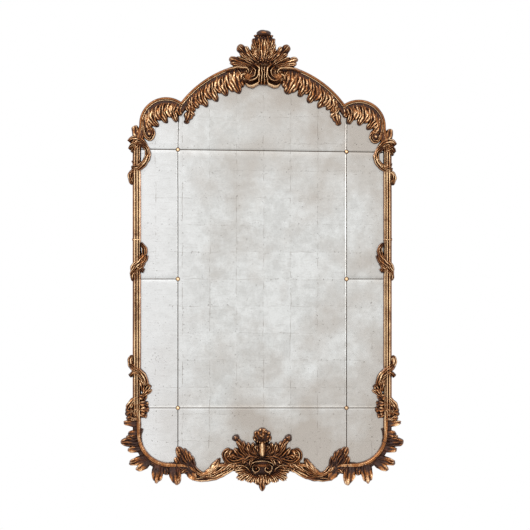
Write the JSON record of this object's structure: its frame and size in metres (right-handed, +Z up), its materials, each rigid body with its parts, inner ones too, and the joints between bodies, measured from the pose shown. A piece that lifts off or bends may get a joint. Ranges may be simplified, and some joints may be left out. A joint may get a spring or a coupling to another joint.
{
  "type": "wall mirror",
  "caption": "Tall wall mirror with an arched, shouldered top, antiqued panes joined by small rosettes, and a carved, gilded frame with a leaf crest, hanging fringe, leafy corners and cartouche.",
  "frame": {"origin": "on the flat back, on the middle line, at the height where the mirror is fixed to the wall", "axes": "+Z up, +Y back into the wall, +X to the right as seen from the front"},
  "size_m": [1.1158, 0.0711, 1.8171],
  "materials": {
    "gilding": "carved wood, gilded and antiqued with a brown glaze",
    "silvering": "antiqued mirror, silvered in square leaves, with fine foxing",
    "board": "plain plywood"
  },
  "bodies": {
    "root": {"frame": "gilding", "rosette_upper_left": "gilding", "rosette_upper_right": "gilding", "rosette_middle_left": "gilding", "rosette_middle_right": "gilding", "rosette_lower_left": "gilding", "rosette_lower_right": "gilding", "pane_top_left": "silvering", "pane_top_middle": "silvering", "pane_top_right": "silvering", "pane_upper_left": "silvering", "pane_upper_right": "silvering", "pane_centre": "silvering", "pane_lower_left": "silvering", "pane_lower_right": "silvering", "pane_bottom_left": "silvering", "pane_bottom_middle": "silvering", "pane_bottom_right": "silvering", "backboard": "board"}
  },
  "joints": []
}
